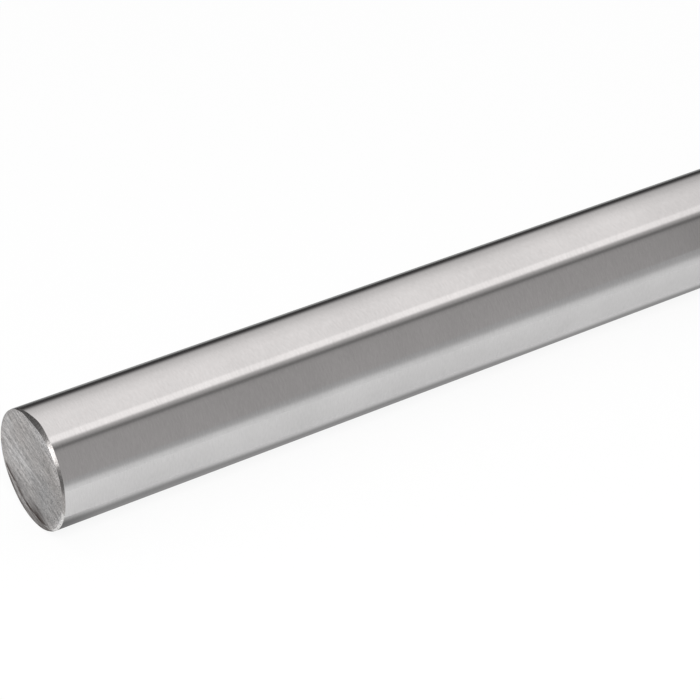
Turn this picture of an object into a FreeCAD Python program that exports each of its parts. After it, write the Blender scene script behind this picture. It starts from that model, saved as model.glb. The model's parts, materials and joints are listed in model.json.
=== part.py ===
"""Linear shaft: a plain round bar of hardened and ground steel, cut to length.

The bar lies along X. Its axis is the X axis and the origin is halfway along it, so it rests on a
floor one radius below the origin. It is one solid: a ground barrel, a flat face at each end, and
a narrow lead-in chamfer between each face and the barrel.
"""

import FreeCAD
import Part
import Sketcher
import math
import os

# Driving dimensions in millimetres, and the slope of the chamfers to the shaft's axis in degrees.
DIMENSIONS = {
    "shaft_diameter": 20.0,
    "shaft_length": 300.0,
    "chamfer_length": 0.6,
    "chamfer_slope": 30.0,
}
SHEET = "Dimensions"


def cell(alias):
    """The expression that reads one driving dimension."""
    return f"<<{SHEET}>>.{alias}"


def make_dimension_sheet(doc):
    """Writes every driving dimension to a cell of its own and gives the cell its alias."""
    sheet = doc.addObject("Spreadsheet::Sheet", SHEET)
    sheet.Label = SHEET
    for row, (alias, value) in enumerate(DIMENSIONS.items(), start=1):
        sheet.set(f"A{row}", alias)
        sheet.set(f"B{row}", str(value))
        sheet.setAlias(f"B{row}", alias)
    doc.recompute()
    return sheet


def origin_plane(body, role):
    """The body's own origin plane with that role, such as YZ_Plane."""
    return next(plane for plane in body.Origin.OriginFeatures if plane.Role == role)


def draw_round_section(body, sheet):
    """Draws the bar's section across its axis: one circle about the origin.

    The sketch is turned a quarter, so that the circle starts at the bar's side and the seam of the
    round face keeps clear of the line that the bar rests on.
    """
    sketch = body.newObject("Sketcher::SketchObject", "RoundSection")
    sketch.AttachmentSupport = [(origin_plane(body, "YZ_Plane"), "")]
    sketch.MapMode = "FlatFace"
    across_sketch = FreeCAD.Vector(0, 0, 1)
    sketch.AttachmentOffset = FreeCAD.Placement(FreeCAD.Vector(), FreeCAD.Rotation(across_sketch, 90))
    circle = sketch.addGeometry(Part.Circle(FreeCAD.Vector(), across_sketch, sheet.shaft_diameter / 2))
    # A constraint knows a circle's centre as its point 3, and the origin as point 1 of line -1.
    sketch.addConstraint(Sketcher.Constraint("Coincident", circle, 3, -1, 1))
    diameter = sketch.addConstraint(Sketcher.Constraint("Diameter", circle, sheet.shaft_diameter))
    sketch.setExpression(f"Constraints[{diameter}]", cell("shaft_diameter"))
    return sketch


def make_shaft(doc, sheet):
    """Pads the round section to both sides of the origin and chamfers the rim of each end."""
    body = doc.addObject("PartDesign::Body", "Shaft")
    body.Label = "shaft"
    barrel = body.newObject("PartDesign::Pad", "GroundBarrel")
    barrel.Profile = draw_round_section(body, sheet)
    barrel.SideType = "Symmetric"
    barrel.setExpression("Length", cell("shaft_length"))
    doc.recompute()

    rims = [f"Edge{number}" for number, edge in enumerate(barrel.Shape.Edges, start=1)
            if isinstance(edge.Curve, Part.Circle)]
    chamfers = body.newObject("PartDesign::Chamfer", "EndChamfers")
    chamfers.Base = (barrel, rims)
    chamfers.ChamferType = "Distance and Angle"
    chamfers.setExpression("Size", cell("chamfer_length"))
    chamfers.setExpression("Angle", cell("chamfer_slope"))
    doc.recompute()
    return body


def expected_volume(sheet):
    """The volume worked out by hand: the full-diameter barrel and the frustum at each end."""
    radius = sheet.shaft_diameter / 2
    face_radius = radius - sheet.chamfer_length * math.tan(math.radians(sheet.chamfer_slope))
    barrel = math.pi * radius**2 * (sheet.shaft_length - 2 * sheet.chamfer_length)
    frustum = math.pi * sheet.chamfer_length * (radius**2 + radius * face_radius + face_radius**2) / 3
    return barrel + 2 * frustum


def check_document(doc, sheet, body):
    """Stops if an object failed to recompute, or the shaft isn't one whole solid of its volume."""
    failed = [item.Name for item in doc.Objects if {"Invalid", "Error"} & set(item.State)]
    if failed:
        raise RuntimeError(f"objects that failed: {failed}")
    shape = body.Shape
    if shape.isNull() or not shape.isValid() or len(shape.Solids) != 1:
        raise RuntimeError(f"{body.Label} isn't one valid solid")
    if not math.isclose(shape.Volume, expected_volume(sheet), rel_tol=1e-6):
        raise RuntimeError(f"{body.Label} has the wrong volume")


def main():
    doc = FreeCAD.newDocument("linear_shaft")
    sheet = make_dimension_sheet(doc)
    shaft = make_shaft(doc, sheet)
    check_document(doc, sheet, shaft)
    os.makedirs("parts", exist_ok=True)
    shaft.Shape.exportStep(f"parts/{shaft.Label}.step")
    box = shaft.Shape.BoundBox
    print(f"{shaft.Label}: {box.XLength:.3f} x {box.YLength:.3f} x {box.ZLength:.3f} mm")


main()
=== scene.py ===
"""The looks of a linear shaft: a round bar of hardened steel, centreless ground and cut to length.

The bar lies along X on a pale floor. Its surface is one mesh, worked out on a grid of rings along
the bar by angles round it, with the hand-deburred end that the picture shows at minus X. Lengths
are written in millimetres and turned to metres where a mesh, a lamp or the camera is placed.
Angles round the bar are in degrees: 0 faces the camera's side, 90 faces up, 180 faces the back.
"""

import json
import math
from collections import namedtuple

import bpy
import numpy as np
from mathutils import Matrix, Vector


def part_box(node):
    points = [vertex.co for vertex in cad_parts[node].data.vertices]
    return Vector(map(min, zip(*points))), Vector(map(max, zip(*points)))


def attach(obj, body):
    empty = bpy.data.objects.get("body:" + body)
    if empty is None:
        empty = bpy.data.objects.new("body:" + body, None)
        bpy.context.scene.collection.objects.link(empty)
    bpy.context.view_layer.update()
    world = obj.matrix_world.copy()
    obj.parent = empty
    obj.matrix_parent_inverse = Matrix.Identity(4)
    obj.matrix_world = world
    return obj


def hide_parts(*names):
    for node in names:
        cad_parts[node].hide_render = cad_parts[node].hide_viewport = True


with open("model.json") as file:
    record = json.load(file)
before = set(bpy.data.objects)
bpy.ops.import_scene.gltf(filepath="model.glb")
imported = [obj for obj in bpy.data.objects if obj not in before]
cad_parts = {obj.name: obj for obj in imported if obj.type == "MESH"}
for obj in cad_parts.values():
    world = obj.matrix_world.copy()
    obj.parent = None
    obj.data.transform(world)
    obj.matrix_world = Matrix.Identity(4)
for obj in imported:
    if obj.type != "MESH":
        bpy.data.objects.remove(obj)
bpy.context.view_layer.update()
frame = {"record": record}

MM = 0.001
WHITE = (1.0, 1.0, 1.0, 1.0)

# The shaft's own size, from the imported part.
RADIUS = next(m["dims"]["r_mm"] for m in frame["record"]["mounts"] if m["name"] == "ground_barrel")
HALF_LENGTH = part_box("shaft")[1].x / MM
FLOOR_LEVEL = -RADIUS

# The camera, fitted to the outline of the picture's bar: how far it stands from the middle of the
# near end along X, Y and Z, in shaft radii, where it looks from in degrees, and its focal length.
CAMERA_FROM_END = (-15.364, -30.992, 23.345)
CAMERA_AZIMUTH = -34.510
CAMERA_ELEVATION = 31.7195
CAMERA_LENS = 138.38
CAMERA_SENSOR = 36.0
CAMERA_CLIPS = (10.0 * MM, 100000.0 * MM)

# How fine the mesh is: points on each ring, and lengths that the barrel is divided into. An edge
# that turns by more than the sharp angle is shaded as a crisp one.
ANGLES = 360
BARREL_SPANS = 31
SHARP_ANGLE = 12.0

# A ring of the surface: how deep below its end plane it lies, its distance from the axis, its
# painted shade and grime and its wear at every angle, and the finish of the strip that ends at it.
Ring = namedtuple("Ring", "depth distance grime wear finish")

# The lip that the saw left on the near face: its width, in shares of the radius, by the angle. This
# table and the chamfer's two were read from the picture's brightness, outwards from the middle of
# the face, and corrected against renders.
LIP_WIDTHS = ((192, 0.0), (200, 0.03), (210, 0.105), (220, 0.167), (230, 0.187), (240, 0.187),
              (250, 0.18), (260, 0.177), (270, 0.162), (280, 0.127), (290, 0.075), (302, 0.0))
# How much further in than its width its foot lies, in the same shares.
FOOT_GAP = 0.02
# How deep the face sinks at the foot, and how far in from it the face has risen to a third of that.
VALLEY_DEPTH = 0.11
VALLEY_REACH = 0.12 * RADIUS
# How wide the crease at its foot and the edge at the rim are, and the share of the whole way from
# foot to rim that each may take at most.
CREASE_WIDTH, CREASE_SHARE = 0.36, 0.3
EDGE_WIDTH, EDGE_SHARE = 0.95, 0.45
# How far it falls below the end plane: at each ring of its strip, and at the edge's three rings.
STRIP_FALL = 0.002
EDGE_FALLS = (0.013, 0.02, 0.04)

# The deburred chamfer, in shares of the radius by the angle: where its inner edge lies, and how
# long it is along the bar.
CHAMFER_RIMS = ((-70, 0.985), (-45, 0.96), (-20, 0.955), (0, 0.965), (12, 0.965), (27, 0.972),
                (40, 0.957), (50, 0.974), (60, 0.958), (70, 0.955), (80, 0.944), (90, 0.951),
                (100, 0.983), (115, 0.993), (180, 0.993), (289, 0.993))
CHAMFER_LENGTHS = ((-70, 0.015), (-45, 0.025), (-20, 0.03), (0, 0.03), (10, 0.034), (20, 0.045),
                   (30, 0.046), (40, 0.049), (50, 0.056), (60, 0.06), (70, 0.072), (80, 0.069),
                   (90, 0.053), (100, 0.046), (125, 0.04), (180, 0.025), (230, 0.01), (289, 0.01))
# The plain chamfer of the far end: how long it is along the bar, and how deep into the face.
FAR_CHAMFER_LENGTH = 0.6
FAR_CHAMFER_DEPTH = 0.35

# Where the painted shade lies, a darkening of the colour tinted brown like grime that stands in
# for shade in the lip's crease and in front of it: the angles over which it sets in and those over
# which it ends, in front of the lip and on its outer edge, which is darkened too. Then how dark it
# is against the lip, and its darker places, as bells of the angle with a height, a middle and a
# spread: there, and in the streaks on the lip.
# The bells are fitted to the same brightness as the lip's widths.
SHADED_AND_GRIMY_FACE = ((192, 204), (297, 312))
DARKENED_EDGE = ((196, 215), (294, 307))
LEAST_DARKENING = 0.3
DARKER_BELLS = ((0.5, 206, 10), (0.6, 228, 9), (1.0, 277, 15), (0.45, 291, 9))
STREAKS = ((1.1, 271, 18), (0.5, 293, 7))
STREAK_RINGS = 6
LEAST_STREAK = 0.2
# Where the file has worn the face: the angle in the middle of that side, how far from it the wear
# ends, and how far in from the rim it has faded to a third.
WORN_SIDE = -5.0
WORN_TURNS = (45.0, 80.0)
WEAR_REACH = 0.3 * RADIUS
# Where it left arcs: the angle in the middle of them, and the steps over which they set in.
ARCS_MIDDLE = 75.0
ARCS_START = (0.76, 0.84)

# The seeds of the small wavers, and the first one of the streaks.
RIM_SEED, CHAMFER_SEED, FAR_RIM_SEED, STREAK_SEED = 3, 5, 7, 20

# Where the rings of the near face lie, in shares of the way from its middle to the lip's foot:
# evenly over the inner part, then closer and closer together.
EVEN_PART = 0.7
FACE_STEPS = np.concatenate([
    np.linspace(0.0, EVEN_PART, 15)[1:],
    1.0 - (1.0 - EVEN_PART) * np.linspace(1.0, 0.0, 30)[1:] ** 1.5])


def smooth(value, low, high):
    """0 below low, 1 above high, and a smooth S between: 3t squared minus 2t cubed."""
    t = np.clip((value - low) / (high - low), 0.0, 1.0)
    return t * t * (3.0 - 2.0 * t)


def between(value, rise, fall):
    """0, then a smooth rise to 1 over one span and a smooth fall to 0 over another."""
    return smooth(value, *rise) * (1.0 - smooth(value, *fall))


def turn_between(angle, middle):
    """The signed angle from middle to angle, in degrees, from -180 to 180."""
    return (angle - middle + 180.0) % 360.0 - 180.0


def swell(angle, middle, spread):
    """A bell about the middle: e to the minus square of the angle from it over the spread."""
    return np.exp(-(turn_between(angle, middle) / spread) ** 2)


def bells(angle, table):
    """The sum of a table's bells, each its height times a swell."""
    return sum(height * swell(angle, middle, spread) for height, middle, spread in table)


def round_profile(angle, table):
    """A table's value at each of the evenly spaced angles: straight lines between its rows,
    rounded by an average over seven neighbours."""
    value = np.interp(angle, *zip(*table), period=360)
    return sum(np.roll(value, shift) for shift in range(-3, 4)) / 7.0


def wander(angle, seed, size):
    """A small closed waver round the rim: a sum of sines of whole numbers of waves, with phases
    drawn from a seeded generator and heights that fall with the number of waves."""
    random = np.random.default_rng(seed)
    waves = np.arange(2, 24)
    phases = random.uniform(0.0, 2.0 * np.pi, len(waves))
    heights = 1.0 / waves ** 0.7
    turns = np.radians(angle)[:, None] * waves + phases
    return size * (np.sin(turns) * heights).sum(axis=1) / np.sqrt((heights ** 2).sum() / 2)


def face_rings(angle, foot, share, shaded_and_soiled, worn):
    """The near face, from its middle to the lip's foot. It sinks towards the foot as an exponential
    of the distance from it. The painted shade, tinted brown like grime, a least darkening with bells
    of the angle on it, fades from the foot, and the wear from the right side of the rim, as
    exponentials too. The file left arcs in the outer part of the upper half, whose strength wavers
    round the rim."""
    # Painted shade in front of the lip, tinted brown like grime: how dark it is round the rim.
    darkening = LEAST_DARKENING + bells(angle, DARKER_BELLS)
    shade_reach = RADIUS * (0.12 + 0.05 * swell(angle, 272.0, 25.0))
    upper = smooth(np.cos(np.radians(angle - ARCS_MIDDLE)), 0.5, 1.0)
    rings = []
    for t in FACE_STEPS:
        distance = foot * t
        depth = VALLEY_DEPTH * share * np.exp((distance - foot) / VALLEY_REACH)
        # The painted shade fades inwards from the lip's foot.
        grime = shaded_and_soiled * darkening * np.exp((distance - foot) / shade_reach)
        wear = worn * np.exp((distance - foot) / WEAR_REACH)
        waver = np.clip(0.4 + wander(angle, int(1000 * t), 0.3), 0.0, 1.0)
        arcs = upper * smooth(t, *ARCS_START) * waver
        rings.append(Ring(depth, distance, grime, np.maximum(wear, arcs), "face"))
    return rings


def lip_rings(angle, foot, rim, share, shaded_and_soiled, outer, worn):
    """The lip, from its foot out to the rim: it rises over the crease, where a line of painted shade
    lies, tinted brown like grime, to the end plane, and falls by a few hundredths of a millimetre
    along its strip and its edge. Its strip is darkened in streaks, and its outer edge is darkened too."""
    crease = np.minimum(CREASE_WIDTH, CREASE_SHARE * (rim - foot))
    edge = np.minimum(EDGE_WIDTH, EDGE_SHARE * (rim - foot))
    valley, level = VALLEY_DEPTH * share, np.zeros_like(angle)
    # A painted line of shade in the crease at the lip's foot.
    line = shaded_and_soiled * (1.0 - 0.6 * swell(angle, 243.0, 8.0)) * (1.0 - smooth(angle, 284.0, 298.0))
    rings = [
        Ring(0.7 * valley, foot + 0.4 * crease, line, worn, "face"),
        Ring(0.2 * valley, foot + 0.7 * crease, line, worn, "face"),
        Ring(level, foot + crease, 0.4 * line, worn, "face"),
    ]
    strip = rim - edge - foot - crease
    for k in range(1, STREAK_RINGS + 1):
        distance = foot + crease + strip * k / (STREAK_RINGS + 1.0)
        streak = LEAST_STREAK + bells(angle, STREAKS) + wander(angle, STREAK_SEED + k, 0.3)
        # The lip's strip is darkened in streaks of the same brown.
        grime = shaded_and_soiled * np.clip(streak, 0.0, 1.0)
        rings.append(Ring(STRIP_FALL * k * share, distance, grime, worn, "face"))
    # The lip's outer edge is darkened, and the chamfer after it.
    thin = outer * (0.25 + 0.5 * swell(angle, 276.0, 20.0))
    at_start, near_start, at_rim = EDGE_FALLS
    rings.append(Ring(at_start * share, rim - edge, thin, worn, "face"))
    rings.append(Ring(near_start * share, rim - 0.8 * edge, 0.8 * outer, worn, "face"))
    rings.append(Ring(at_rim * share, rim, outer, worn, "face"))
    return rings


def near_end(angle):
    """Rings of the deburred end, from the middle of the face out to the barrel: the face, the lip
    that the saw left, and the chamfer, a cone whose width and length vary round the bar."""
    width = round_profile(angle, LIP_WIDTHS)
    share = width / width.max()
    rim = RADIUS * round_profile(angle, CHAMFER_RIMS) + wander(angle, RIM_SEED, 0.012)
    foot = rim - RADIUS * (FOOT_GAP + width)
    # Where painted shade darkens the face in front of the lip, and where the lip's outer edge is
    # darkened.
    shaded_and_soiled, outer = between(angle, *SHADED_AND_GRIMY_FACE), between(angle, *DARKENED_EDGE)
    worn = 1.0 - smooth(np.abs(turn_between(angle, WORN_SIDE)), *WORN_TURNS)
    rings = face_rings(angle, foot, share, shaded_and_soiled, worn)
    rings += lip_rings(angle, foot, rim, share, shaded_and_soiled, outer, worn)
    length = RADIUS * round_profile(angle, CHAMFER_LENGTHS) + wander(angle, CHAMFER_SEED, 0.015)
    full = np.full_like(angle, RADIUS)
    # The chamfer's ring is darkened as much as the lip's outer edge.
    rings.append(Ring(rings[-1].depth + length, full, outer, worn, "chamfer"))
    return rings


def far_end(angle):
    """Rings of the plain end, from the barrel in to the middle of its face: an even chamfer and a
    flat face, as the part's solid has them."""
    none, full = np.zeros_like(angle), np.full_like(angle, RADIUS)
    rim = full - FAR_CHAMFER_DEPTH + wander(angle, FAR_RIM_SEED, 0.01)
    rings = [Ring(none + FAR_CHAMFER_LENGTH, full, none, none, "barrel"),
             Ring(none, rim, none, none, "chamfer")]
    rings += [Ring(none, rim * t, none, none, "face") for t in np.linspace(1.0, 0.0, 20)[1:-1]]
    return rings


def painted_face_light(across, up):
    """Painted light and shade on the end face, from 0 to 1, by the place on it in shares of the radius:
    it rises steadily to the picture's left, with a broad bell left of the middle and a small dark one
    above the lip, and its brightest, painted highlights lie in an arc inside the upper rim and at the
    lower right."""
    outwards = np.hypot(across, up)
    round_end = np.degrees(np.arctan2(up, -across))
    painted_light = 0.38 + 0.22 * across + 0.62 * np.exp(-((across - 0.4) ** 2 + (up + 0.12) ** 2) / 0.22)
    painted_light -= 0.5 * np.exp(-((across - 0.22) ** 2 + (up + 0.56) ** 2) / 0.03)
    painted_light += 0.75 * smooth(outwards, 0.72, 0.86) * smooth(up, -0.1, 0.5)
    painted_light += 0.8 * smooth(outwards, 0.88, 0.95) * swell(round_end, 327.0, 20.0)
    return np.clip(painted_light, 0.0, 1.0)


def ring_faces(count):
    """Faces over so many rings of points, with a pole after them for each end: quadrangles between
    neighbouring rings, strip by strip, and then a fan of triangles round each pole."""
    grid = np.arange(count * ANGLES).reshape(count, ANGLES)
    here, there = grid[:-1], grid[1:]
    quads = np.stack([here, there, np.roll(there, -1, axis=1), np.roll(here, -1, axis=1)], axis=-1)
    first, last = grid[0], grid[-1]
    near_pole, far_pole = np.full(ANGLES, grid.size), np.full(ANGLES, grid.size + 1)
    near_fan = np.stack([near_pole, first, np.roll(first, -1)], axis=1)
    far_fan = np.stack([last, far_pole, np.roll(last, -1)], axis=1)
    return quads.reshape(-1, 4).tolist() + near_fan.tolist() + far_fan.tolist()


def build_shaft(materials):
    """The whole surface: the rings of both ends and of the barrel between them, and a pole in the
    middle of each face. A point lies at x = its ring's depth from its end plane, y = minus the
    distance times the cosine of its angle, z = the distance times the sine."""
    angle = np.arange(ANGLES) * 360.0 / ANGLES
    none, full = np.zeros_like(angle), np.full_like(angle, RADIUS)
    near, far = near_end(angle), far_end(angle)
    start, end = near[-1].depth - HALF_LENGTH, HALF_LENGTH - far[0].depth
    shares = np.linspace(0.0, 1.0, BARREL_SPANS + 1)[1:-1]
    places = [ring.depth - HALF_LENGTH for ring in near]
    places += [start + (end - start) * t for t in shares]
    places += [HALF_LENGTH - ring.depth for ring in far]
    rings = near + [Ring(none, full, none, none, "barrel")] * len(shares) + far

    cos, sin = np.cos(np.radians(angle)), np.sin(np.radians(angle))
    circles = [np.stack([x, -ring.distance * cos, ring.distance * sin], axis=1)
               for x, ring in zip(places, rings)]
    poles = [[[-HALF_LENGTH, 0.0, 0.0], [HALF_LENGTH, 0.0, 0.0]]]
    points = np.concatenate(circles + poles) * MM
    mesh = bpy.data.meshes.new("shaft_surface")
    mesh.from_pydata(points.tolist(), [], ring_faces(len(rings)))

    finishes = list(materials)
    strips = np.repeat([finishes.index(ring.finish) for ring in rings[1:]], ANGLES)
    fans = np.full(2 * ANGLES, finishes.index("face"))
    for material in materials.values():
        mesh.materials.append(material)
    mesh.polygons.foreach_set("material_index", np.concatenate([strips, fans]))
    mesh.polygons.foreach_set("use_smooth", np.ones(len(mesh.polygons), dtype=bool))
    on_poles = [0.0, 0.0]
    across, up = points[:, 1] / (RADIUS * MM), points[:, 2] / (RADIUS * MM)
    attributes = {
        # Painted shade along the lip's crease and in front of it, tinted brown like grime.
        "grime": np.concatenate([ring.grime for ring in rings] + [on_poles]),
        "wear": np.concatenate([ring.wear for ring in rings] + [on_poles]),
        # Painted light and shade over the end face, with painted highlights near the rim.
        "painted_light": painted_face_light(across, up),
    }
    for name, value in attributes.items():
        mesh.attributes.new(name, "FLOAT", "POINT").data.foreach_set("value", value)
    mesh.set_sharp_from_angle(angle=math.radians(SHARP_ANGLE))
    mesh.update()
    shaft = bpy.data.objects.new("ground_shaft", mesh)
    bpy.context.scene.collection.objects.link(shaft)
    return shaft


def linear(hex_colour):
    """An sRGB colour written as RRGGBB, as linear red, green, blue and alpha."""
    parts = [int(hex_colour[i:i + 2], 16) / 255.0 for i in (0, 2, 4)]
    return [p / 12.92 if p <= 0.04045 else ((p + 0.055) / 1.055) ** 2.4 for p in parts] + [1.0]


def add_node(tree, kind, settings=None, inputs=None):
    """Adds a node, sets its settings, and fills its inputs: a value is set on the socket, and an
    output socket is linked to it."""
    node = tree.nodes.new(kind)
    for name, value in (settings or {}).items():
        setattr(node, name, value)
    for key, value in (inputs or {}).items():
        if isinstance(value, bpy.types.NodeSocket):
            tree.links.new(value, node.inputs[key])
        else:
            node.inputs[key].default_value = value
    return node


def new_material(name):
    """An empty node material, its tree and its output node."""
    material = bpy.data.materials.new(name)
    material.use_nodes = True
    tree = material.node_tree
    tree.nodes.clear()
    return material, tree, add_node(tree, "ShaderNodeOutputMaterial")


def ground_steel():
    """Bearing steel, centreless ground and polished: nearly a mirror, with faint marks round the
    bar where the wheel ran, and a cloudiness in soft blotches some 14 mm wide. The real marks are
    about 0.02 mm apart. They are drawn ten times as coarse, because finer ones would not show."""
    material, tree, output = new_material("ground_bearing_steel")
    place = add_node(tree, "ShaderNodeTexCoord").outputs["Object"]
    round_bar = add_node(tree, "ShaderNodeMapping", inputs={
        "Vector": place, "Scale": (1 / (0.2 * MM), 1 / (1.1 * MM), 1 / (1.1 * MM))})
    marks = add_node(tree, "ShaderNodeTexNoise", inputs={
        "Vector": round_bar.outputs[0], "Scale": 1.0, "Detail": 2.0, "Roughness": 0.6})
    cloud = add_node(tree, "ShaderNodeTexNoise", inputs={
        "Vector": place, "Scale": 1 / (14 * MM), "Detail": 6.0, "Roughness": 0.6})
    both = add_node(tree, "ShaderNodeMath", {"operation": "MULTIPLY_ADD"}, {
        0: marks.outputs[0], 1: 0.9, 2: cloud.outputs[0]})
    share = add_node(tree, "ShaderNodeMapRange", inputs={
        "Value": both.outputs[0], "From Min": 0.55, "From Max": 1.35})
    tone = add_node(tree, "ShaderNodeMix", {"data_type": "RGBA"}, {
        "Factor": share.outputs[0], "A": linear("C6C5C5"), "B": linear("D6D5D5")})
    dullness = add_node(tree, "ShaderNodeMapRange", inputs={
        "Value": both.outputs[0], "From Min": 0.55, "From Max": 1.35, "To Min": 0.13, "To Max": 0.09})
    bump = add_node(tree, "ShaderNodeBump", inputs={
        "Height": marks.outputs[0], "Strength": 1.0, "Distance": 0.0008 * MM})
    shader = add_node(tree, "ShaderNodeBsdfPrincipled", inputs={
        "Base Color": tone.outputs["Result"], "Metallic": 1.0, "Roughness": dullness.outputs[0],
        "Normal": bump.outputs[0]})
    tree.links.new(shader.outputs[0], output.inputs["Surface"])
    return material


def filed_steel():
    """The chamfer: the same steel, deburred by hand with a file, which leaves nicks a quarter of a
    millimetre wide that sparkle. Where the lip's outer edge is darkened, its colour is darkened to
    brown too."""
    material, tree, output = new_material("filed_steel")
    place = add_node(tree, "ShaderNodeTexCoord").outputs["Object"]
    nicks = add_node(tree, "ShaderNodeTexNoise", inputs={
        "Vector": place, "Scale": 1 / (0.25 * MM), "Detail": 2.0})
    bump = add_node(tree, "ShaderNodeBump", inputs={
        "Height": nicks.outputs[0], "Strength": 1.0, "Distance": 0.009 * MM})
    contrast = add_node(tree, "ShaderNodeMapRange", inputs={
        "Value": nicks.outputs[0], "From Min": 0.3, "From Max": 0.7})
    tone = add_node(tree, "ShaderNodeMix", {"data_type": "RGBA"}, {
        "Factor": contrast.outputs[0], "A": linear("B8B6B5"), "B": linear("F4F3F2")})
    # Where the lip's outer edge is darkened, the chamfer is darkened to brown too.
    grime = add_node(tree, "ShaderNodeAttribute", {"attribute_name": "grime"})
    shaded_and_soiled = add_node(tree, "ShaderNodeMix", {"data_type": "RGBA"}, {
        "Factor": grime.outputs["Fac"], "A": tone.outputs["Result"], "B": linear("4A4240")})
    shader = add_node(tree, "ShaderNodeBsdfPrincipled", inputs={
        "Base Color": shaded_and_soiled.outputs["Result"], "Metallic": 1.0, "Roughness": 0.2,
        "Normal": bump.outputs[0]})
    tree.links.new(shader.outputs[0], output.inputs["Surface"])
    return material


def linished_steel():
    """The end face: sawn, then linished straight across on a belt of about 120 grit, which leaves
    scratches a tenth of a millimetre apart. They are drawn 0.17 mm apart, with broader ones 0.6 mm
    apart among them, so that they show. A thin film of coolant tints the face in patches some 9 mm
    wide, and the file has nicked it where it wears towards the rim. Its colour carries painted light
    and shade by the place on the face, and painted shade along the lip's crease, tinted brown like
    grime."""
    material, tree, output = new_material("linished_steel")
    place = add_node(tree, "ShaderNodeTexCoord").outputs["Object"]
    turned = add_node(tree, "ShaderNodeMapping", inputs={
        "Vector": place, "Rotation": (math.radians(-22.0), 0, 0)}).outputs[0]
    fine_way = add_node(tree, "ShaderNodeMapping", inputs={
        "Vector": turned, "Scale": (0, 1 / (0.75 * MM), 1 / (0.17 * MM))})
    fine = add_node(tree, "ShaderNodeTexNoise", inputs={
        "Vector": fine_way.outputs[0], "Scale": 1.0, "Detail": 2.0, "Roughness": 0.7})
    broad_way = add_node(tree, "ShaderNodeMapping", inputs={
        "Vector": turned, "Scale": (0, 1 / (5 * MM), 1 / (0.6 * MM))})
    broad = add_node(tree, "ShaderNodeTexNoise", inputs={
        "Vector": broad_way.outputs[0], "Scale": 1.0, "Detail": 3.0})
    scratches = add_node(tree, "ShaderNodeMath", {"operation": "MULTIPLY_ADD"}, {
        0: fine.outputs[0], 1: 1.3, 2: broad.outputs[0]})

    nicks = add_node(tree, "ShaderNodeTexNoise", inputs={
        "Vector": place, "Scale": 1 / (0.2 * MM), "Detail": 2.0})
    nicked = add_node(tree, "ShaderNodeMath", {"operation": "SUBTRACT"}, {0: nicks.outputs[0], 1: 0.48})
    wear = add_node(tree, "ShaderNodeAttribute", {"attribute_name": "wear"})
    strength = add_node(tree, "ShaderNodeMapRange", inputs={
        "Value": wear.outputs["Fac"], "To Min": 0.6, "To Max": 2.8})
    worn = add_node(tree, "ShaderNodeMath", {"operation": "MULTIPLY"}, {
        0: nicked.outputs[0], 1: strength.outputs[0]})
    height = add_node(tree, "ShaderNodeMath", {"operation": "ADD"}, {
        0: worn.outputs[0], 1: scratches.outputs[0]})
    bump = add_node(tree, "ShaderNodeBump", inputs={
        "Height": height.outputs[0], "Strength": 1.0, "Distance": 0.04 * MM})

    streak = add_node(tree, "ShaderNodeMapRange", inputs={
        "Value": height.outputs[0], "From Min": 0.77, "From Max": 1.55})
    tone = add_node(tree, "ShaderNodeMix", {"data_type": "RGBA"}, {
        "Factor": streak.outputs[0], "A": linear("7E7D7D"), "B": linear("FCFBFA")})
    # Painted light and shade over the face, that lightens or darkens its colour by the place.
    painted_light = add_node(tree, "ShaderNodeAttribute", {"attribute_name": "painted_light"})
    light_factor = add_node(tree, "ShaderNodeMix", {"data_type": "RGBA"}, {
        "Factor": painted_light.outputs["Fac"], "A": linear("DCDBDA"), "B": linear("FFFFFF")})
    lit_scratches = add_node(tree, "ShaderNodeMix", {"data_type": "RGBA", "blend_type": "MULTIPLY"}, {
        "Factor": 1.0, "A": tone.outputs["Result"], "B": light_factor.outputs["Result"]})

    film = add_node(tree, "ShaderNodeTexNoise", inputs={
        "Vector": place, "Scale": 1 / (9 * MM), "Detail": 3.0})
    tinge = add_node(tree, "ShaderNodeMapRange", inputs={
        "Value": film.outputs[0], "From Min": 0.35, "From Max": 0.65})
    tint = add_node(tree, "ShaderNodeMix", {"data_type": "RGBA"}, {
        "Factor": tinge.outputs[0], "A": linear("FEFBFA"), "B": linear("FBFCFE")})
    tinted = add_node(tree, "ShaderNodeMix", {"data_type": "RGBA", "blend_type": "MULTIPLY"}, {
        "Factor": 1.0, "A": lit_scratches.outputs["Result"], "B": tint.outputs["Result"]})

    # Painted shade along the lip's crease and in front of it, tinted brown like grime, patchy along the
    # broad scratches.
    grime = add_node(tree, "ShaderNodeAttribute", {"attribute_name": "grime"})
    patchy = add_node(tree, "ShaderNodeMapRange", inputs={
        "Value": broad.outputs[0], "From Min": 0.3, "From Max": 0.7, "To Min": 1.15, "To Max": 0.65})
    shade_and_dirt = add_node(tree, "ShaderNodeMath", {"operation": "MULTIPLY", "use_clamp": True}, {
        0: grime.outputs["Fac"], 1: patchy.outputs[0]})
    shaded_and_soiled = add_node(tree, "ShaderNodeMix", {"data_type": "RGBA"}, {
        "Factor": shade_and_dirt.outputs[0], "A": tinted.outputs["Result"], "B": linear("463A34")})
    shader = add_node(tree, "ShaderNodeBsdfPrincipled", inputs={
        "Base Color": shaded_and_soiled.outputs["Result"], "Metallic": 1.0, "Roughness": 0.35,
        "Normal": bump.outputs[0]})
    tree.links.new(shader.outputs[0], output.inputs["Surface"])
    return material


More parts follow.
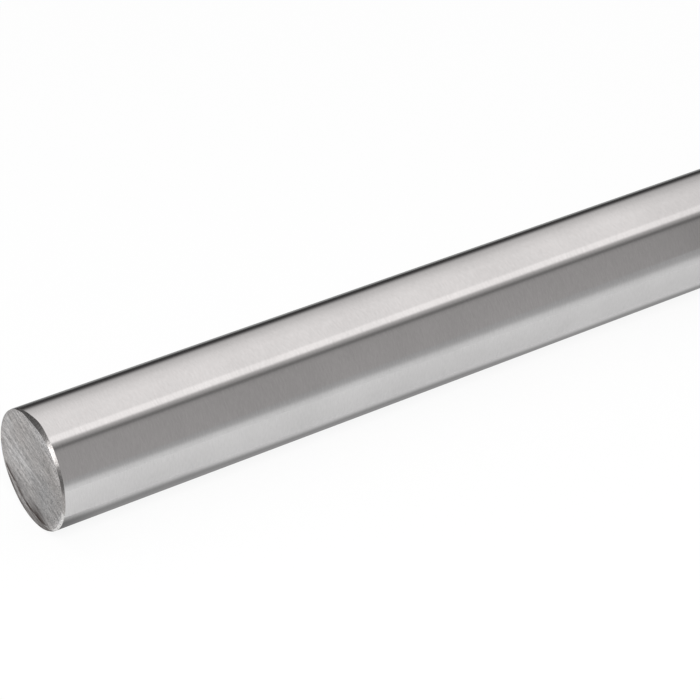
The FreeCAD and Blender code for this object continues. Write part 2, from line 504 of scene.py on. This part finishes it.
# The light tent: its size, and its panels by the angle from straight up towards the camera's side,
# with how bright each is, where 1 is white paper. From the back: the dark of the room, the big
# overhead panel that shades off towards the back, a bright strip at its front edge, a black gap,
# and the grey front wall. The levels were worked out from the brightness across the picture's
# barrel, and corrected against renders.
TENT_RADIUS = 600.0
TENT_HALF_LENGTH = 1500.0
TENT_PANELS = ((-91, 0.035), (-86, 0.065), (-83, 0.09), (-78, 0.28), (-73, 0.54), (-67, 0.70),
               (-60, 0.78), (-45, 0.98), (-25, 1.10), (7, 1.09), (9, 1.31), (18.9, 1.30), (22, 0.61),
               (26, 0.42), (30, 0.20), (32, 0.20), (36, 0.38), (41, 0.425), (91, 0.45))
# A seam dims it where the bar leaves the picture: where along X the seam sets in and ends, how much
# it takes, and how much more from the gap on, over the angles given. It was fitted to the
# brightness along the picture's bar.
SEAM = ((372, 428), (440, 500))
SEAM_SHADE, SEAM_FRONT_SHADE = 0.12, 0.09
SEAM_FRONT = (22.0, 40.0)

# The dark hood round the near end, part of a short tube: its radius, how far it reaches over the bar
# and in front of it, where it fades into the tent's own light at both ends, and its panels. The
# bright ones make the glint on the chamfer. The levels were worked out from the brightness round
# the picture's chamfer, and corrected against renders. Most of the angles were converted from
# those of a wider hood.
HOOD_RADIUS = 12.0
HOOD_OVERLAP, HOOD_REACH = 1.2, 8.0
HOOD_FADES = ((0.5, 1.2), (6.0, 8.0))
HOOD_PANELS = ((-60, 0.10), (-3, 0.11), (11, 0.17), (21.5, 0.28), (26.4, 0.40), (31.2, 1.00),
               (34.4, 1.25), (40, 1.6), (46, 1.6), (52.4, 1.25), (56.2, 0.85), (59.2, 0.34),
               (63, 0.26), (73.9, 0.15), (84.1, 0.15), (89.5, 0.18), (97, 0.30), (104, 0.42),
               (114, 0.46), (124, 0.46), (136, 0.55))
# Where the barrel sees the camera, in degrees from straight up.
VIEW_ANGLE = 53.0

# What lies on the floor, by how far in front of the bar (minus) or behind it, and how bright: the
# grey card in front, the paper in the bar's shade that gives way to the black board behind, and
# the same shade to the left of the near end, where the end face mirrors it. The levels were set one
# by one, and corrected against renders.
GREY_FRONT = ((-860, 0.44), (-160, 0.475), (-95, 0.51), (-73, 0.56), (-58, 0.66), (-48, 0.77),
              (-40, 0.84), (-32, 0.88))
SHADED_BACK = ((9, 0.47), (20, 0.42), (60, 0.355), (86, 0.30), (115, 0.14), (150, 0.06), (600, 0.04))
SHADED_END = ((-14, 0.95), (-8, 0.95), (-4.5, 0.85), (-1.5, 0.62), (0, 0.56), (7, 0.59), (14, 0.70),
              (20, 0.76), (30, 0.66), (60, 0.36), (86, 0.27), (115, 0.13), (150, 0.06))
# The front card lies askew: each millimetre along this stretch of X brings its rows nearer to the
# bar by this share, and they are as far as the table says in one place. The share was fitted to
# the brightness along the picture's bar.
FRONT_SKEW = 0.003
SKEW_STRETCH = (-150.0, 40.0)
SKEW_SQUARE = -60.0

# The dark line under the bar, a painted contact shadow that only the metal mirrors: its half width
# by how far along the bar it is from the near end, how bright it is by how far outside that width,
# and how much darker it starts, over how short a way.
# The widths were fitted to the brightness along the picture's bar, so they waver as it does.
CONTACT_WIDTHS = ((0, 8.95), (12, 8.95), (20, 9.15), (28, 9.0), (36, 8.35), (48, 8.2), (60, 8.35),
                  (76, 8.3), (84, 8.1), (92, 7.5), (108, 7.55), (116, 7.7), (124, 7.65),
                  (132, 7.45), (180, 6.3), (300, 5.5))
CONTACT_EDGE = ((1.5, 0.82), (1.0, 0.76), (0.4, 0.65), (0.0, 0.55), (-0.5, 0.43), (-1.1, 0.34),
                (-6.0, 0.33))
CONTACT_START, CONTACT_FADE = 0.55, 4.0
# How far above the floor the three layers of cards lie.
LOW_CARD, END_CARD, CONTACT_CARD = 0.1, 0.12, 0.15

# How bright the world is as a light, where 1 is white.
WORLD_LIGHT = 0.68
# The floor's plain white: how bright it is, and how much of it shows where the floor is seen and
# where metal mirrors it. The rest is paper that takes the shadow. Then half the floor's side.
FLOOR_WHITE, FLOOR_SEEN, FLOOR_MIRRORED = 1.02, 0.88, 0.38
FLOOR_HALF = 4000.0
# The softbox: its sides, its power in watts, the way to it from the near end, and how far.
SOFTBOX_SIDES = (180.0, 200.0)
SOFTBOX_POWER = 1.2
SOFTBOX_WAY = (-0.25, -0.61, 0.753)
SOFTBOX_DISTANCE = 500.0


def glowing_card(name, colour):
    """What a card is made of: it glows in one colour, as bright as its level says."""
    material, tree, output = new_material(name)
    level = add_node(tree, "ShaderNodeAttribute", {"attribute_name": "level"})
    glow = add_node(tree, "ShaderNodeEmission", inputs={
        "Color": linear(colour), "Strength": level.outputs["Fac"]})
    tree.links.new(glow.outputs[0], output.inputs["Surface"])
    return material


def make_card(name, material, x, y, z, levels):
    """A reflector card: a grid of points, and how bright each glows. Only mirrored rays see it, so
    it shapes what the metal mirrors, and neither lights the floor nor shades it nor hides the
    backdrop."""
    index = np.arange(levels.size).reshape(levels.shape)
    quads = np.stack([index[:-1, :-1], index[1:, :-1], index[1:, 1:], index[:-1, 1:]], axis=-1)
    points = np.stack([x, y, z], axis=-1).reshape(-1, 3) * MM
    mesh = bpy.data.meshes.new(name)
    mesh.from_pydata(points.tolist(), [], quads.reshape(-1, 4).tolist())
    glow = mesh.attributes.new("level", "FLOAT", "POINT")
    glow.data.foreach_set("value", levels.ravel())
    mesh.materials.append(material)
    card = bpy.data.objects.new(name, mesh)
    card.visible_camera = False
    card.visible_diffuse = False
    card.visible_shadow = False
    bpy.context.scene.collection.objects.link(card)


def panel_level(angle):
    """How bright the tent is at an angle."""
    return np.interp(angle, *zip(*TENT_PANELS))


def tent_behind_hood(angle):
    """The tent's angle that the barrel would mirror to the camera if the hood weren't there, by the
    angle on the hood. Where the barrel faces n it mirrors 2n minus the camera's angle v, and that
    ray crosses the hood at 2n - v less the arcsine of the two radii's ratio times sin(n - v)."""
    facing = np.arange(-40.0, 91.0)
    mirrored = 2.0 * facing - VIEW_ANGLE
    off_view = np.radians(facing - VIEW_ANGLE)
    crossing = mirrored - np.degrees(np.arcsin(RADIUS / HOOD_RADIUS * np.sin(off_view)))
    return np.interp(angle, crossing, mirrored)


def make_light_tent(fabric):
    """The tent, a half cylinder about the bar, whose panels run along it."""
    along = np.concatenate([[-TENT_HALF_LENGTH], np.arange(360.0, 501.0, 5.0), [TENT_HALF_LENGTH]])
    angle, x = np.meshgrid(np.arange(-91.0, 91.1, 0.5), along, indexing="ij")
    turn = np.radians(angle)
    shade = between(x, *SEAM) * (SEAM_SHADE + SEAM_FRONT_SHADE * smooth(angle, *SEAM_FRONT))
    make_card("light_tent", fabric, x, -TENT_RADIUS * np.sin(turn), TENT_RADIUS * np.cos(turn),
              panel_level(angle) * (1.0 - shade))


def make_dark_hood(fabric):
    """The hood, part of a cylinder about the near end, that darkens what the chamfer mirrors."""
    along = np.linspace(HOOD_OVERLAP, -HOOD_REACH, 93)
    angle, x = np.meshgrid(np.arange(-60.0, 136.1, 0.5), along, indexing="ij")
    turn = np.radians(angle)
    over_bar, in_front = HOOD_FADES
    fade = smooth(x, *over_bar) + smooth(-x, *in_front)
    own = np.interp(angle, *zip(*HOOD_PANELS))
    levels = panel_level(tent_behind_hood(angle)) * fade + own * (1.0 - fade)
    make_card("dark_hood", fabric, x - HALF_LENGTH, -HOOD_RADIUS * np.sin(turn),
              HOOD_RADIUS * np.cos(turn), levels)


def make_floor_cards(paper):
    """The cards that lie on the floor: the one in front and the one behind along the whole bar, the
    one past its near end, and the dark line under it, a painted contact shadow, which narrows away
    from the near end."""
    along = np.concatenate([[-TENT_HALF_LENGTH], np.arange(-150.0, 41.0, 10.0), [TENT_HALF_LENGTH]])
    for name, rows, skew in (("grey_front", GREY_FRONT, FRONT_SKEW), ("shaded_back", SHADED_BACK, 0.0)):
        across, level = np.array(rows, dtype=float).T
        y, x = np.meshgrid(across, along, indexing="ij")
        y *= 1.0 - skew * (np.clip(x, *SKEW_STRETCH) - SKEW_SQUARE)
        levels = np.repeat(level[:, None], len(along), axis=1)
        make_card(name, paper, x, y, np.full_like(x, FLOOR_LEVEL + LOW_CARD), levels)

    across, level = np.array(SHADED_END, dtype=float).T
    y, x = np.meshgrid(across, [-TENT_HALF_LENGTH, -HALF_LENGTH - 1.0], indexing="ij")
    levels = np.repeat(level[:, None], 2, axis=1)
    make_card("shaded_end", paper, x, y, np.full_like(x, FLOOR_LEVEL + END_CARD), levels)

    # The painted contact shadow under the bar, which only the metal mirrors.
    along = np.concatenate([[-HALF_LENGTH], np.linspace(-HALF_LENGTH + 1, 30, 24), [TENT_HALF_LENGTH]])
    outside, level = np.array(CONTACT_EDGE, dtype=float).T
    past_width, x = np.meshgrid(outside, along, indexing="ij")
    y = -(np.interp(x + HALF_LENGTH, *zip(*CONTACT_WIDTHS)) + past_width)
    nearness = np.exp(-(x + HALF_LENGTH) / CONTACT_FADE)
    levels = level[:, None] * (1.0 - CONTACT_START * nearness)
    make_card("contact_line", paper, x, y, np.full_like(x, FLOOR_LEVEL + CONTACT_CARD), levels)


def make_studio():
    """The world: plain white where it is seen or mirrored, and dimmer as a light, because the
    softbox adds the rest."""
    world = bpy.data.worlds.new("studio")
    bpy.context.scene.world = world
    world.cycles.sampling_method = "NONE"
    world.use_nodes = True
    tree = world.node_tree
    tree.nodes.clear()
    output = add_node(tree, "ShaderNodeOutputWorld")
    path = add_node(tree, "ShaderNodeLightPath")
    seen = add_node(tree, "ShaderNodeMath", {"operation": "MAXIMUM"}, {
        0: path.outputs["Is Camera Ray"], 1: path.outputs["Is Glossy Ray"]})
    seen_or_through = add_node(tree, "ShaderNodeMath", {"operation": "MAXIMUM"}, {
        0: seen.outputs[0], 1: path.outputs["Is Transmission Ray"]})
    strength = add_node(tree, "ShaderNodeMapRange", inputs={
        "Value": seen_or_through.outputs[0], "To Min": WORLD_LIGHT, "To Max": 1.0})
    white = add_node(tree, "ShaderNodeBackground", inputs={
        "Color": WHITE, "Strength": strength.outputs[0]})
    tree.links.new(white.outputs[0], output.inputs["Surface"])


def make_floor():
    """White paper under the bar. Where it is seen it glows with the backdrop's plain white, through
    which the bar's shadow shows faintly, and where metal mirrors it, with a smaller share of it."""
    material, tree, output = new_material("white_paper")
    path = add_node(tree, "ShaderNodeLightPath")
    mirrored = add_node(tree, "ShaderNodeMath", {"operation": "MULTIPLY"}, {
        0: path.outputs["Is Glossy Ray"], 1: FLOOR_MIRRORED})
    straight = add_node(tree, "ShaderNodeMath", {"operation": "MAXIMUM"}, {
        0: path.outputs["Is Camera Ray"], 1: path.outputs["Is Transmission Ray"]})
    share = add_node(tree, "ShaderNodeMath", {"operation": "MULTIPLY_ADD"}, {
        0: straight.outputs[0], 1: FLOOR_SEEN, 2: mirrored.outputs[0]})
    paper = add_node(tree, "ShaderNodeBsdfDiffuse", inputs={"Color": linear("F0F0F0")})
    white = add_node(tree, "ShaderNodeEmission", inputs={"Color": WHITE, "Strength": FLOOR_WHITE})
    mixed = add_node(tree, "ShaderNodeMixShader", inputs={
        0: share.outputs[0], 1: paper.outputs[0], 2: white.outputs[0]})
    tree.links.new(mixed.outputs[0], output.inputs["Surface"])
    mesh = bpy.data.meshes.new("floor")
    half, level = FLOOR_HALF * MM, FLOOR_LEVEL * MM
    corners = [(-half, -half, level), (half, -half, level), (half, half, level), (-half, half, level)]
    mesh.from_pydata(corners, [], [(0, 1, 2, 3)])
    mesh.materials.append(material)
    floor = bpy.data.objects.new("floor", mesh)
    bpy.context.scene.collection.objects.link(floor)


def make_key_light():
    """A softbox over the camera, aimed at the near end. Metal doesn't mirror it: it lights the
    floor, and gives the bar its faint shadow."""
    light = bpy.data.lights.new("key_softbox", "AREA")
    light.shape = "RECTANGLE"
    light.size, light.size_y = (side * MM for side in SOFTBOX_SIDES)
    light.energy = SOFTBOX_POWER
    lamp = bpy.data.objects.new("key_softbox", light)
    towards = Vector(SOFTBOX_WAY).normalized()
    lamp.location = (Vector((-HALF_LENGTH, 0.0, 0.0)) + towards * SOFTBOX_DISTANCE) * MM
    lamp.rotation_mode = "QUATERNION"
    lamp.rotation_quaternion = towards.to_track_quat("Z", "Y")
    lamp.visible_camera = False
    lamp.visible_glossy = False
    bpy.context.scene.collection.objects.link(lamp)


def make_camera():
    """The camera at the picture's place, aim and focal length."""
    camera = bpy.data.cameras.new("camera")
    camera.lens = CAMERA_LENS
    camera.sensor_width = CAMERA_SENSOR
    camera.clip_start, camera.clip_end = CAMERA_CLIPS
    seer = bpy.data.objects.new("camera", camera)
    azimuth, elevation = math.radians(CAMERA_AZIMUTH), math.radians(CAMERA_ELEVATION)
    back = Vector((math.sin(azimuth) * math.cos(elevation), -math.cos(azimuth) * math.cos(elevation),
                   math.sin(elevation)))
    near_end_middle = Vector((-HALF_LENGTH, 0.0, 0.0))
    seer.location = (near_end_middle + Vector(CAMERA_FROM_END) * RADIUS) * MM
    seer.rotation_mode = "QUATERNION"
    seer.rotation_quaternion = (-back).to_track_quat("-Z", "Y")
    bpy.context.scene.collection.objects.link(seer)
    bpy.context.scene.camera = seer


make_camera()
make_studio()
make_key_light()
warm_fabric = glowing_card("warm_fabric", "FFFCFB")
plain_paper = glowing_card("plain_paper", "FFFFFF")
make_light_tent(warm_fabric)
make_dark_hood(warm_fabric)
make_floor_cards(plain_paper)
make_floor()
shaft = build_shaft({"face": linished_steel(), "chamfer": filed_steel(), "barrel": ground_steel()})
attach(shaft, "root")
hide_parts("shaft")

bpy.context.scene.view_settings.view_transform = "Standard"
